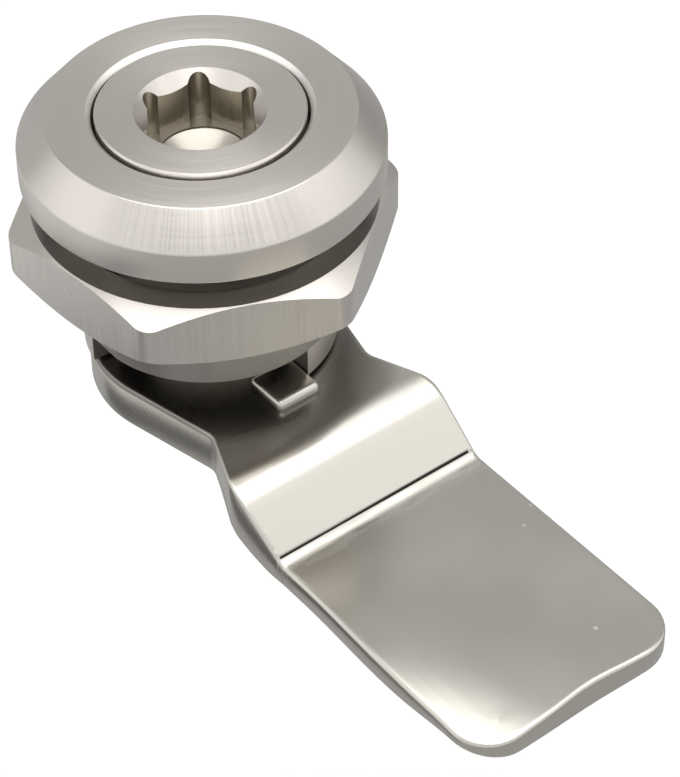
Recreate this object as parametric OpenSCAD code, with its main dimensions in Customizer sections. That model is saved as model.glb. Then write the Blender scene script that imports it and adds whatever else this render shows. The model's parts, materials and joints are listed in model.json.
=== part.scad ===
// Quarter-turn cam lock for a locker door.
// Origin at the middle of the flange's seating face, +Z out of the door, +X along the cam at rest.

/* [Flange] */
// How far the flange reaches past the nut's flats
flange_margin = 0.5; // [0.2:0.1:3]
// Height of the flange, from the door to its front face
flange_h = 5.4; // [4.6:0.1:8]
// Height of the straight rim below the flange's chamfer
flange_rim_h = 2.8; // [2:0.1:3.6]
// Width of the flange's chamfer, seen from the front
flange_chamfer_w = 2.2; // [1:0.1:2.6]
// Rounding of the flange's edges
flange_edge_r = 0.35; // [0.1:0.05:0.6]

/* [Barrel] */
// Outside diameter of the barrel's thread
thread_d = 22; // [21:0.1:23]
// Depth of the two flats below the thread's outside
flat_depth = 1; // [0.5:0.1:1.3]
// Length of the thread below the flange
thread_l = 9.6; // [9:0.1:12]
// Depth of the thread, down to the plain barrel below it
thread_depth = 0.9; // [0.6:0.05:1.2]
// Length of the barrel below the flange
barrel_l = 15.9; // [14.5:0.1:20]
// Depth of the stop cut-out in the barrel's rear rim
cutout_h = 2.75; // [2.2:0.05:3.5]
// Length of the collar that guides the rotor
collar_l = 6; // [4.5:0.1:6.5]
// Chamfer at the mouth of the rotor's bore
bore_mouth = 0.4; // [0.1:0.05:0.6]
// Room in the counterbore round the retaining ring
counterbore_room = 0.7; // [0.4:0.05:1]

/* [Mounting nut] */
// Wall of the nut, from the thread to its flats
nut_wall = 2.5; // [1.8:0.1:5]
// Thickness of the nut
nut_t = 5.2; // [4:0.1:6]
// Room for the door between flange and nut
door_gap = 2.75; // [2.2:0.05:3.5]
// Angle of the nut's corners from the cam
nut_turn = 6.8; // [0:0.1:60]
// Slope of the nut's corner chamfers
nut_chamfer_angle = 30; // [15:1:40]
// Chamfer at both mouths of the nut's thread
nut_mouth = 0.4; // [0.1:0.05:0.6]

/* [Rotor] */
// Diameter of the rotor's head
head_d = 16; // [15.4:0.1:16.6]
// Length of the rotor's head
head_l = 7.6; // [7.2:0.1:8]
// Diameter of the rotor's journal
journal_d = 12; // [11.4:0.1:12.4]
// Width of the rotor's square tail
tail_w = 8; // [7:0.1:8]
// Width across the flats of the hexagon socket
socket_af = 8; // [7:0.1:8.4]
// Depth of the hexagon socket
socket_depth = 4.4; // [4:0.1:5.3]
// Radius of the relief in the socket's corners
lobe_r = 0.85; // [0.6:0.05:1]
// How far the reliefs reach past the hexagon's corners
lobe_reach = 0.2; // [0.1:0.05:0.4]
// Angle of the socket's corners from the cam
socket_turn = 26; // [0:1:59]
// Ledge at the hexagon's bottom, round the pilot hole
socket_ledge = 0.55; // [0.1:0.05:0.8]
// Depth of the pilot hole's wall below the hexagon
pilot_depth = 0.2; // [0.1:0.1:1.2]
// Point angle of the drill that made the pilot hole
pilot_angle = 118; // [90:1:140]
// Width of the socket's countersink past the hexagon's flats
countersink_w = 1.05; // [0.8:0.05:1.6]

/* [Seals and rings] */
// Thickness of the flange seal's cord
flange_cord_d = 1.4; // [1:0.05:1.5]
// How far the flange seal stands out of its groove
flange_seal_proud = 0.2; // [0:0.05:0.3]
// Thickness of the rotor seal's cord
rotor_cord_d = 1.16; // [0.9:0.02:1.2]
// Thickness of the thrust washer
thrust_t = 0.5; // [0.3:0.05:0.7]
// Thickness of the wave washer's strip
wave_t = 0.35; // [0.2:0.05:0.5]
// Height of the wave washer over its waves
wave_h = 1.1; // [0.9:0.05:1.3]
// Thickness of the retaining ring
ring_t = 1; // [0.8:0.05:1.2]
// Land between the rotor seal's groove and the rotor's shoulder
groove_land = 0.5; // [0.3:0.05:0.8]
// Depth of the retaining ring's groove
ring_groove_depth = 0.5; // [0.3:0.05:0.6]
// Width of the retaining ring's strip
ring_w = 1.45; // [1:0.05:1.6]

/* [Cam] */
// Distance from the lock's axis to the cam's tip
cam_l = 45; // [36:0.5:60]
// Diameter of the cam's round hub
hub_d = 19.5; // [18:0.1:20.5]
// Thickness of the hub
hub_t = 3.8; // [3:0.1:4.2]
// Width of the neck behind the stop nub
neck_w = 15.2; // [14:0.1:16.5]
// Distance from the axis to the neck
neck_x = 10.4; // [10:0.1:11.5]
// Width of the blade
blade_w = 19.5; // [18:0.1:22]
// Distance from the axis to where the sides reach the blade's width
flare_x = 15.6; // [14:0.1:18]
// Thickness of the blade
blade_t = 2; // [1.5:0.1:3]
// Radius of the blade's corners
tip_r = 3.6; // [2:0.1:5]
// How far the blade lies behind the hub
cam_offset = 4.2; // [3:0.1:6]
// Distance from the axis to the start of the crank
bend_x = 14.3; // [10.2:0.1:15.5]
// Radius on the outside of the crank
bend_r = 5; // [4:0.5:12]
// Angle of the crank's front
bend_angle = 38.5; // [22:0.5:45]
// Angle of the crank's underside
under_angle = 17; // [12:1:24]
// Thickness of the crank where it meets the blade
slope_t = 2.3; // [1.8:0.1:3.4]
// Width of the stop nub
nub_w = 4; // [3:0.1:4.2]
// Length of the stop nub along the cam
nub_l = 4; // [3:0.1:4.2]
// Height of the stop nub
nub_h = 0.9; // [0.6:0.05:1.9]
// Slant of the stop nub's outer end, from root to top
nub_slant = 0.5; // [0.2:0.1:1]
// Rounding of the stop nub's top edges
nub_edge_r = 0.4; // [0.1:0.05:0.6]
// Rounding in the corners of the neck
neck_r = 1.5; // [0.5:0.1:3]
// Rounding where the sides reach the blade's width
flare_r = 4; // [1:0.5:6]

/* [Bolt and washers] */
// Diameter of the cam bolt
bolt_d = 5; // [4:0.5:6]
// Length of the cam bolt's shank
bolt_l = 12; // [10:0.5:14]
// Width across the flats of the bolt head
bolt_af = 8; // [7:0.5:11]
// Height of the bolt head
bolt_head_h = 3.5; // [3:0.1:5]
// Diameter of the flat washer
washer_d = 15; // [12:0.5:19]
// Thickness of the flat washer
washer_t = 1.2; // [1:0.1:2]
// Clearance of the washers' holes round the bolt, on the radius
washer_clearance = 0.2; // [0.1:0.05:0.4]
// Thickness of the split washer
spring_t = 1.2; // [1:0.1:2]
// How far the split washer reaches past the bolt head's corners
spring_margin = 0.06; // [0.03:0.01:0.4]

/* [Clearances] */
// Visible gap round the rotor's head
head_gap = 0.25; // [0.1:0.05:0.3]
// Running clearance of the journal, on the radius
running_gap = 0.05; // [0.02:0.01:0.09]
// Clearance between pieces that turn against each other or sit in a seat
seat_gap = 0.05; // [0.03:0.01:0.1]
// Gap between the barrel's rear rim and the cam
hub_gap = 0.3; // [0.2:0.05:0.5]
// How far the tail stays behind the face of the hub
tail_short = 0.2; // [0.1:0.05:0.4]
// Small chamfer on turned edges
edge_chamfer = 0.15; // [0.1:0.05:0.35]

/* [Hidden] */
$fn = 96;
arc_steps = 8;
eps = 0.5;
hexagon_inset = 0.1;
bolt_tip_room = 1;

// Heights, from the flange's front face back to the bolt head
head_bottom_z = flange_h - head_l;
ledge_z = head_bottom_z - thrust_t - seat_gap;
collar_bottom_z = ledge_z - collar_l;
ring_top_z = collar_bottom_z - wave_h - seat_gap;
hub_top_z = -barrel_l - hub_gap;
hub_bottom_z = hub_top_z - hub_t;
tail_end_z = hub_bottom_z + tail_short;
washer_bottom_z = hub_bottom_z - washer_t;
spring_bottom_z = washer_bottom_z - spring_t;
blade_top_z = hub_top_z - cam_offset;
nut_top_z = -door_gap;

// Outside sizes that follow the thread
flats_w = thread_d - 2 * flat_depth;
lead_d = thread_d - 2 * thread_depth;
nut_af = thread_d + 2 * nut_wall;
flange_d = nut_af + 2 * flange_margin;
spring_d = bolt_af / cos(30) + 2 * spring_margin;

// Bores and grooves
bore_r = head_d / 2 + head_gap;
collar_r = journal_d / 2 + running_gap;
nut_bore_r = thread_d / 2 + seat_gap;
stop_half = nub_w / 2 + seat_gap;
tail_hole_w = tail_w + 2 * seat_gap;
bolt_hole_r = bolt_d / 2 + seat_gap;
washer_hole_r = bolt_d / 2 + washer_clearance;
flange_groove_r = (flange_d / 2 + thread_d / 2) / 2;
flange_groove_w = flange_cord_d + 2 * seat_gap;
flange_groove_h = flange_cord_d - flange_seal_proud + seat_gap;
rotor_groove_w = rotor_cord_d + 4 * seat_gap;
rotor_groove_z = head_bottom_z + rotor_groove_w / 2 + groove_land;
rotor_seal_r = bore_r - seat_gap - rotor_cord_d / 2;
rotor_groove_r = rotor_seal_r - rotor_cord_d / 2 - seat_gap;
ring_groove_r = journal_d / 2 - ring_groove_depth;
ring_inner_r = ring_groove_r + seat_gap;
ring_outer_r = ring_inner_r + ring_w;
counterbore_r = ring_outer_r + counterbore_room;

// The crank: where its slope meets the blade
crank_run = bend_r * sin(bend_angle);
crank_drop = bend_r * (1 - cos(bend_angle));
crease_x = bend_x + crank_run + (cam_offset - crank_drop) / tan(bend_angle);

steel = [0.72, 0.70, 0.67];
bright_steel = [0.78, 0.77, 0.75];
black_rubber = [0.05, 0.05, 0.05];
grey_plastic = [0.82, 0.81, 0.78];
spring_steel = [0.35, 0.34, 0.33];

// A corner of an outline, as an arc of the given radius where its two sides leave room for it
function unit(v) = v / norm(v);
function turned(v, a) = [v.x * cos(a) - v.y * sin(a), v.x * sin(a) + v.y * cos(a)];
function corner(before, here, after, r) =
    let (
        back = before - here,
        ahead = after - here,
        half = acos(unit(back) * unit(ahead)) / 2,
        reach = min(r / tan(half), 0.45 * norm(back), 0.45 * norm(ahead)),
        radius = reach * tan(half),
        centre = here + unit(unit(back) + unit(ahead)) * radius / sin(half),
        start = here + unit(back) * reach - centre,
        sweep = sign(cross(ahead, back)) * (180 - 2 * half)
    )
    [for (i = [0:arc_steps]) centre + turned(start, sweep * i / arc_steps)];

// An outline from corners given as [x, y, radius]
function rounded(corners) =
    let (n = len(corners), at = [for (c = corners) [c.x, c.y]])
    [for (i = [0:n - 1])
        let (before = at[(i + n - 1) % n], after = at[(i + 1) % n], r = corners[i][2])
        each r == 0 ? [at[i]] : corner(before, at[i], after, r)];

module ring(outer_r, inner_r, top_z, height) {
    translate([0, 0, top_z - height])
        difference() {
            cylinder(r = outer_r, h = height);
            translate([0, 0, -eps]) cylinder(r = inner_r, h = height + 2 * eps);
        }
}

// A hole from one height up to another
module hole(r, from_z, to_z) {
    translate([0, 0, from_z]) cylinder(r = r, h = to_z - from_z);
}

// A cone that widens by its own height: a 45 degree chamfer at a hole's mouth
module mouth_chamfer(r, mouth_z, width) {
    translate([0, 0, mouth_z - width]) cylinder(r1 = r, r2 = r + 2 * width, h = 2 * width);
}

// Hexagon block standing on zero, with its upper corners chamfered, and its lower ones too if wanted
module hexagon_block(af, height, slope, both_ends) {
    wide_r = af / sqrt(3) + eps;
    face_r = af / 2 - hexagon_inset;
    drop = (wide_r - face_r) * tan(slope);
    lower_rim = both_ends ? [[face_r, 0], [wide_r, drop]] : [[wide_r, 0]];
    upper_rim = [[wide_r, height - drop], [face_r, height]];
    intersection() {
        cylinder(d = af / cos(30), h = height, $fn = 6);
        rotate_extrude() polygon(concat([[0, 0]], lower_rim, upper_rim, [[0, height]]));
    }
}

module flange_body() {
    rotate_extrude()
        polygon(rounded([
            [0, 0, 0],
            [flange_d / 2, 0, flange_edge_r],
            [flange_d / 2, flange_rim_h, flange_edge_r],
            [flange_d / 2 - flange_chamfer_w, flange_h, flange_edge_r],
            [0, flange_h, 0]]));
}

module barrel_body() {
    intersection() {
        rotate_extrude()
            polygon([
                [0, eps],
                [thread_d / 2, eps],
                [thread_d / 2, -thread_l + (thread_d - lead_d) / 2],
                [lead_d / 2, -thread_l],
                [lead_d / 2, -barrel_l + edge_chamfer],
                [lead_d / 2 - edge_chamfer, -barrel_l],
                [0, -barrel_l]]);
        translate([-thread_d, -flats_w / 2, -barrel_l - eps])
            cube([2 * thread_d, flats_w, barrel_l + 2 * eps]);
    }
}

// Takes out the quarter of the rear rim that the cam's nub sweeps, from stop to stop
module stop_cutout() {
    translate([-stop_half, stop_half - thread_d, -barrel_l - eps])
        cube([thread_d, thread_d, cutout_h + eps]);
}

module housing() {
    color(steel)
        difference() {
            union() {
                flange_body();
                barrel_body();
            }
            hole(bore_r, ledge_z, flange_h + eps);
            mouth_chamfer(bore_r, flange_h, bore_mouth);
            hole(collar_r, collar_bottom_z - eps, ledge_z + eps);
            hole(counterbore_r, -barrel_l - eps, collar_bottom_z);
            ring(flange_groove_r + flange_groove_w / 2, flange_groove_r - flange_groove_w / 2,
                flange_groove_h, flange_groove_h + eps);
            stop_cutout();
        }
}

module cord_ring(r, cord_d, z) {
    translate([0, 0, z])
        rotate_extrude()
            translate([r, 0]) circle(d = cord_d);
}

module flange_seal() {
    color(black_rubber) cord_ring(flange_groove_r, flange_cord_d, flange_cord_d / 2 - flange_seal_proud);
}

module rotor_seal() {
    color(black_rubber) cord_ring(rotor_seal_r, rotor_cord_d, rotor_groove_z);
}

module mounting_nut() {
    color(steel)
        translate([0, 0, nut_top_z - nut_t])
            rotate([0, 0, nut_turn])
                difference() {
                    hexagon_block(nut_af, nut_t, nut_chamfer_angle, true);
                    hole(nut_bore_r, -eps, nut_t + eps);
                    mouth_chamfer(nut_bore_r, nut_t, nut_mouth);
                    mirror([0, 0, 1]) mouth_chamfer(nut_bore_r, 0, nut_mouth);
                }
}

// Hexagon with round reliefs in its corners, as a broach leaves it
module socket_outline() {
    corner_r = socket_af / sqrt(3);
    rotate(socket_turn) {
        circle(r = corner_r, $fn = 6);
        for (i = [0:5])
            rotate(60 * i) translate([corner_r + lobe_reach - lobe_r, 0]) circle(r = lobe_r);
    }
}

module drive_socket() {
    floor_z = flange_h - socket_depth;
    pilot_r = socket_af / 2 - socket_ledge;
    point_h = pilot_r / tan(pilot_angle / 2);
    translate([0, 0, floor_z]) linear_extrude(socket_depth + eps) socket_outline();
    hole(pilot_r, floor_z - pilot_depth, floor_z + eps);
    translate([0, 0, floor_z - pilot_depth - point_h]) cylinder(r1 = 0, r2 = pilot_r, h = point_h);
    translate([0, 0, flange_h - countersink_w])
        cylinder(r1 = socket_af / 2, r2 = socket_af / 2 + countersink_w + eps, h = countersink_w + eps);
}

module rotor() {
    color(steel)
        difference() {
            union() {
                rotate_extrude()
                    polygon([
                        [0, flange_h],
                        [head_d / 2 - edge_chamfer, flange_h],
                        [head_d / 2, flange_h - edge_chamfer],
                        [head_d / 2, head_bottom_z],
                        [journal_d / 2, head_bottom_z],
                        [journal_d / 2, hub_top_z],
                        [0, hub_top_z]]);
                translate([-tail_w / 2, -tail_w / 2, tail_end_z])
                    cube([tail_w, tail_w, hub_top_z - tail_end_z + eps]);
            }
            drive_socket();
            ring(head_d / 2 + eps, rotor_groove_r, rotor_groove_z + rotor_groove_w / 2, rotor_groove_w);
            ring(journal_d / 2 + eps, ring_groove_r, ring_top_z + seat_gap, ring_t + 2 * seat_gap);
            hole(bolt_hole_r, tail_end_z - eps, spring_bottom_z + bolt_l + bolt_tip_room);
        }
}

module thrust_washer() {
    color(grey_plastic)
        ring(bore_r - 2 * seat_gap, journal_d / 2 + 2 * seat_gap, ledge_z + thrust_t, thrust_t);
}

// Strip bent into waves round a circle: three high and three low places
module wave_washer() {
    steps = 72;
    waves = 3;
    inner_r = journal_d / 2 + 2 * running_gap;
    outer_r = counterbore_r - 2 * running_gap;
    middle_z = collar_bottom_z - wave_h / 2;
    swing = (wave_h - wave_t) / 2 - seat_gap;
    points = [for (i = [0:steps - 1])
        let (a = 360 * i / steps, z = middle_z + swing * cos(waves * a))
        each [for (p = [[inner_r, -1], [outer_r, -1], [outer_r, 1], [inner_r, 1]])
            [p.x * cos(a), p.x * sin(a), z + p.y * wave_t / 2]]];
    faces = [for (i = [0:steps - 1], k = [0:3])
        let (a = 4 * i, b = 4 * ((i + 1) % steps), n = (k + 1) % 4)
        each [[a + k, a + n, b + n], [a + k, b + n, b + k]]];
    color(spring_steel) polyhedron(points, faces, convexity = 4);
}

module retaining_ring() {
    opening = 50;
    reach = 2 * ring_outer_r;
    side = reach * tan(opening / 2);
    color(spring_steel)
        difference() {
            ring(ring_outer_r, ring_inner_r, ring_top_z, ring_t);
            translate([0, 0, ring_top_z - ring_t - eps])
                linear_extrude(ring_t + 2 * eps)
                    polygon([[0, 0], [reach, side], [reach, -side]]);
        }
}

// The cam from above: round hub, narrow neck, blade with round corners
module cam_outline() {
    inset = 0.05;
    neck = [neck_x, neck_w / 2];
    tangent = atan2(neck.y, neck.x) + acos((hub_d / 2 - inset) / norm(neck));
    side = (hub_d / 2 - inset) * [cos(tangent), sin(tangent)];
    circle(d = hub_d);
    polygon(rounded([
        [side.x, -side.y, 0],
        [neck.x, -neck.y, neck_r],
        [flare_x, -blade_w / 2, flare_r],
        [cam_l, -blade_w / 2, tip_r],
        [cam_l, blade_w / 2, tip_r],
        [flare_x, blade_w / 2, flare_r],
        [neck.x, neck.y, neck_r],
        [side.x, side.y, 0]]));
}

// The cam from the side: hub, rounded crank, sharp crease, blade
module cam_profile() {
    slope_x = crease_x - slope_t * sin(under_angle);
    slope_z = blade_top_z - slope_t * cos(under_angle);
    under_hub_x = slope_x - (hub_bottom_z - slope_z) / tan(under_angle);
    under_blade_x = slope_x + (slope_z - blade_top_z + blade_t) / tan(under_angle);
    start_x = -hub_d;
    bend_top_x = bend_x + bend_r * tan(bend_angle / 2);
    polygon(rounded([
        [start_x, hub_bottom_z, 0],
        [under_hub_x, hub_bottom_z, bend_r],
        [under_blade_x, blade_top_z - blade_t, bend_r],
        [cam_l + eps, blade_top_z - blade_t, 0],
        [cam_l + eps, blade_top_z, 0],
        [crease_x, blade_top_z, 0],
        [bend_top_x, hub_top_z, bend_r],
        [start_x, hub_top_z, 0]]));
}

// Stop nub pressed up out of the hub, across the rear rim of the barrel
module stop_nub() {
    start_x = counterbore_r - 2 * seat_gap;
    end_x = start_x + nub_l;
    half_w = nub_w / 2;
    top_z = hub_top_z + nub_h;
    root_z = hub_top_z - eps;
    intersection() {
        rotate([90, 0, 0])
            linear_extrude(2 * nub_w, center = true)
                polygon(rounded([[start_x, root_z, 0], [end_x + nub_slant / 2, root_z, 0],
                    [end_x - nub_slant / 2, top_z, nub_edge_r], [start_x, top_z, nub_edge_r]]));
        rotate([90, 0, 90])
            linear_extrude(2 * end_x)
                polygon(rounded([[-half_w, root_z, 0], [half_w, root_z, 0],
                    [half_w, top_z, nub_edge_r], [-half_w, top_z, nub_edge_r]]));
    }
}

module cam() {
    color(bright_steel)
        difference() {
            union() {
                intersection() {
                    translate([0, 0, blade_top_z - hub_t])
                        linear_extrude(cam_offset + hub_t + eps) cam_outline();
                    rotate([90, 0, 0])
                        linear_extrude(2 * blade_w, center = true) cam_profile();
                }
                stop_nub();
            }
            translate([-tail_hole_w / 2, -tail_hole_w / 2, hub_bottom_z - eps])
                cube([tail_hole_w, tail_hole_w, hub_t + 2 * eps]);
        }
}

module cam_washer() {
    color(bright_steel) ring(washer_d / 2, washer_hole_r, hub_bottom_z, washer_t);
}

// Split washer: a ring with one slanting cut
module spring_washer() {
    cut_w = 0.8;
    color(bright_steel)
        difference() {
            ring(spring_d / 2, washer_hole_r, washer_bottom_z, spring_t);
            translate([0, 0, washer_bottom_z - spring_t / 2])
                rotate([35, 0, 0])
                    translate([0, -cut_w / 2, -2 * spring_t]) cube([spring_d, cut_w, 4 * spring_t]);
        }
}

module cam_bolt() {
    color(bright_steel) {
        translate([0, 0, spring_bottom_z])
            mirror([0, 0, 1]) hexagon_block(bolt_af, bolt_head_h, nut_chamfer_angle, false);
        hole(bolt_d / 2, spring_bottom_z - eps, spring_bottom_z + bolt_l);
    }
}

housing();
flange_seal();
mounting_nut();
rotor();
rotor_seal();
thrust_washer();
wave_washer();
retaining_ring();
cam();
cam_washer();
spring_washer();
cam_bolt();
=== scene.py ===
# %% [markdown]
# A quarter-turn locker lock in stainless steel.
# A turned body with a round flange sits in the door, a hexagon nut clamps it from behind, and a key turns
# the rotor, which carries a cranked latch cam from stop to stop.
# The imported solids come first, as a frame that fixes every size and place. The visible pieces are then
# modelled again with rounder edges and finer detail, and each one replaces its own solid.

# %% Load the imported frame
import json
import math

import bmesh
import bpy
from mathutils import Matrix, Vector

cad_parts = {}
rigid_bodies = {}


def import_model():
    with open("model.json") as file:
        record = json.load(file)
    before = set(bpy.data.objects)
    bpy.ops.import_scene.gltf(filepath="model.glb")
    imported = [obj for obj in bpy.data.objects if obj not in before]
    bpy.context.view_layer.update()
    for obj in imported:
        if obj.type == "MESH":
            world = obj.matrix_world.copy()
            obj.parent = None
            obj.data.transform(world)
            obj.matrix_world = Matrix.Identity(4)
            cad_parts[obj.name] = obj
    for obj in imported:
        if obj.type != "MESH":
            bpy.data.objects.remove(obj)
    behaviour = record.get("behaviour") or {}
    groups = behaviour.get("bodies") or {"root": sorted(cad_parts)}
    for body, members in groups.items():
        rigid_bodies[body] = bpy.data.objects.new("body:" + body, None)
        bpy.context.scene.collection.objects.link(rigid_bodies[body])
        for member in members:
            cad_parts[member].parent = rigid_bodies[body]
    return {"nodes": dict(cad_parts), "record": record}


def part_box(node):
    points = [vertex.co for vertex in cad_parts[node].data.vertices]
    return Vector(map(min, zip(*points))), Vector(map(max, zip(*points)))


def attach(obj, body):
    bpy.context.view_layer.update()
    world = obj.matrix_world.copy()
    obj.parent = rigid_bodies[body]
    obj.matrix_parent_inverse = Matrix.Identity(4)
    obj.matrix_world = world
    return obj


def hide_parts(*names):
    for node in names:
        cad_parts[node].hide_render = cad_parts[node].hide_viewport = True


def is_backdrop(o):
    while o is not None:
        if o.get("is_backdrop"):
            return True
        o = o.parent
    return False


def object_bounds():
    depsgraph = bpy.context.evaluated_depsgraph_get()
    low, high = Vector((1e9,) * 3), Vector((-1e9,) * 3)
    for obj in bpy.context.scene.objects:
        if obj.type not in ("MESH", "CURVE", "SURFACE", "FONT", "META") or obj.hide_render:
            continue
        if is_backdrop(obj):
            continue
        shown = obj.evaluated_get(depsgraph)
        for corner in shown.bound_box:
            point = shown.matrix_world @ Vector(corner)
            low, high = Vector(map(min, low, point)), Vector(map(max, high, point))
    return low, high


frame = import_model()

cad_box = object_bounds()
scene = bpy.context.scene
print("solids in the frame:", sorted(frame["nodes"]))

# %% [markdown]
# The frame is in metres, and a lock is a small thing: an edge of a tenth of a millimetre would be close to
# the tolerances inside Blender's mesh operators. So every piece is modelled in millimetres and scaled down
# when it is finished. The boxes of the solids give most of the sizes.

# %% Sizes that the frame gives, in millimetres
MM = 0.001


def box_mm(node):
    """Lowest and highest corner of a solid, in millimetres."""
    low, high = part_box(node)
    return low / MM, high / MM


housing_low, housing_high = box_mm("housing")
nut_low, nut_high = box_mm("mounting_nut")
rotor_low, rotor_high = box_mm("rotor")
cam_low, cam_high = box_mm("cam")
FACE_Z = housing_high.z
BARREL_END_Z = housing_low.z
FLANGE_R = housing_high.x
HEAD_R = rotor_high.x
print("flange radius", round(FLANGE_R, 2), "mm, front face at", round(FACE_Z, 2),
      "and barrel's end at", round(BARREL_END_Z, 2))

# %% [markdown]
# The camera stands where the photographer stood: in front of the cam's right-hand side, looking down at
# about 37 degrees through a long lens. Its place is given as a direction and a distance from the middle of
# the flange, and three small turns aim it a little beside that point, as a hand-held camera is.

# %% Camera
PHOTO_HEIGHT_PX = 777
FOCAL_LENGTH_PX = 3012
SENSOR_MM = 36
CAMERA_DISTANCE_MM = 225.8
AZIMUTH = math.radians(55.54)
ELEVATION = math.radians(37.42)
PAN = math.radians(-2.386)
TILT = math.radians(-5.442)
ROLL = math.radians(-2.717)

to_camera = Vector((
    math.sin(AZIMUTH) * math.cos(ELEVATION),
    -math.cos(AZIMUTH) * math.cos(ELEVATION),
    math.sin(ELEVATION)))
camera_place = Vector((0, 0, FACE_Z)) + CAMERA_DISTANCE_MM * to_camera
aim = (Matrix.Rotation(AZIMUTH, 4, "Z") @ Matrix.Rotation(math.pi / 2 - ELEVATION, 4, "X")
       @ Matrix.Rotation(PAN, 4, "Y") @ Matrix.Rotation(TILT, 4, "X") @ Matrix.Rotation(ROLL, 4, "Z"))
camera = bpy.data.objects.new("camera", bpy.data.cameras.new("camera"))
camera.data.sensor_width = SENSOR_MM
camera.data.lens = FOCAL_LENGTH_PX * SENSOR_MM / PHOTO_HEIGHT_PX
camera.matrix_world = Matrix.Translation(camera_place * MM) @ aim
scene.collection.objects.link(camera)
scene.camera = camera
scene.view_settings.view_transform = "Standard"
print("lens", round(camera.data.lens, 1), "mm at", [round(v) for v in camera_place])

# %% [markdown]
# Every material and the studio need nodes, so one helper adds a node, sets its options and fills its
# inputs. An input that is given a socket is linked, and anything else is its fixed value.

# %% A helper for nodes


def add_node(tree, kind, inputs=None, **options):
    node = tree.nodes.new("ShaderNode" + kind)
    for name, value in options.items():
        setattr(node, name, value)
    for key, value in (inputs or {}).items():
        if isinstance(value, bpy.types.NodeSocket):
            tree.links.new(value, node.inputs[key])
        else:
            node.inputs[key].default_value = value
    return node


def math_node(tree, operation, *values):
    """One Math node's result."""
    return add_node(tree, "Math", dict(enumerate(values)), operation=operation).outputs[0]


def seen_directly(tree):
    """1 for the rays that show the backdrop: straight from the camera, in metal or through glass."""
    path = add_node(tree, "LightPath").outputs
    in_metal = math_node(tree, "MAXIMUM", path["Is Camera Ray"], path["Is Glossy Ray"])
    return math_node(tree, "MAXIMUM", in_metal, path["Is Transmission Ray"])


# %% [markdown]
# The lock hangs in front of pure white. The world is white where it is seen, also in the steel, and lights
# the rest more softly. The floor lies well below the lock, so its shadow stays soft: it is pale, and a
# little of its own white, seen directly, makes up for the light that the lamps don't give it.

# %% World and floor
WORLD_LIGHT = 0.45
FLOOR_DROP_MM = 60
FLOOR_SIZE_MM = 4000
FLOOR_COLOUR = (0.8, 0.8, 0.79, 1)
FLOOR_GLOW = 0.45

world = bpy.data.worlds.new("white_studio")
world.use_nodes = True
scene.world = world
world_tree = world.node_tree
extra_where_seen = math_node(world_tree, "MULTIPLY", seen_directly(world_tree), 1 - WORLD_LIGHT)
world_strength = math_node(world_tree, "ADD", extra_where_seen, WORLD_LIGHT)
background = world_tree.nodes["Background"].inputs
background["Color"].default_value = (1, 1, 1, 1)
world_tree.links.new(world_strength, background["Strength"])


def pale_floor():
    material = bpy.data.materials.new("pale_floor")
    material.use_nodes = True
    tree = material.node_tree
    tree.nodes.clear()
    paint = add_node(tree, "BsdfDiffuse", {"Color": FLOOR_COLOUR})
    glow_strength = math_node(tree, "MULTIPLY", seen_directly(tree), FLOOR_GLOW)
    glow = add_node(tree, "Emission", {"Strength": glow_strength})
    both = add_node(tree, "AddShader", {0: paint.outputs[0], 1: glow.outputs[0]})
    add_node(tree, "OutputMaterial", {"Surface": both.outputs[0]})
    return material


def flat_sheet(name, width_mm, height_mm, placing, material):
    """A plain sheet of the studio, such as the floor or a card, which isn't part of the lock."""
    bm = bmesh.new()
    bmesh.ops.create_grid(bm, x_segments=1, y_segments=1, size=0.5)
    bmesh.ops.scale(bm, vec=(width_mm, height_mm, 1), verts=bm.verts)
    bmesh.ops.transform(bm, matrix=Matrix.Scale(MM, 4) @ placing, verts=bm.verts)
    mesh = bpy.data.meshes.new(name)
    bm.to_mesh(mesh)
    bm.free()
    mesh.materials.append(material)
    sheet = bpy.data.objects.new(name, mesh)
    scene.collection.objects.link(sheet)
    sheet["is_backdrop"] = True
    return sheet


floor_z = box_mm("cam_bolt")[0].z - FLOOR_DROP_MM
flat_sheet("floor", FLOOR_SIZE_MM, FLOOR_SIZE_MM, Matrix.Translation((0, 0, floor_z)), pale_floor())
print("floor at", round(floor_z, 1), "mm")

# %% [markdown]
# Steel shows little colour of its own: it looks the way its surroundings look. One wide soft panel overhead
# is the only lamp, and it makes the crank and the nut's chamfers shine.
# Places in the studio are given as the camera sees them, so that a lamp or a card can be set to the left or
# behind the lock without thinking of the lock's own axes. A panel's brightness is set as it would look in a
# mirror, where 1 is white.

# %% Lamp


def studio_place(across, away, up):
    """A point given as the camera sees it: to the right, away from the camera, and up."""
    right = Vector((math.cos(AZIMUTH), math.sin(AZIMUTH), 0))
    ahead = Vector((-math.sin(AZIMUTH), math.cos(AZIMUTH), 0))
    return right * across + ahead * away + Vector((0, 0, up))


def facing(place, target):
    """A placing whose Z axis points from the place towards the target."""
    direction = Vector(target) - Vector(place)
    return Matrix.Translation(place) @ direction.to_track_quat("Z", "Y").to_matrix().to_4x4()


def soft_panel(name, place, target, width_mm, height_mm, brightness):
    light = bpy.data.lights.new(name, "AREA")
    light.shape = "RECTANGLE"
    light.size = width_mm * MM
    light.size_y = height_mm * MM
    light.energy = brightness * math.pi * light.size * light.size_y
    lamp = bpy.data.objects.new(name, light)
    flipped = facing(place, target) @ Matrix.Rotation(math.pi, 4, "X")
    lamp.matrix_world = Matrix.Translation(flipped.translation * MM) @ flipped.to_3x3().to_4x4()
    scene.collection.objects.link(lamp)
    print(name, "gives", round(light.energy, 3), "W")


soft_panel("overhead_panel", studio_place(30, -30, 420), (0, 0, 0), 490, 450, 1.65)

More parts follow.
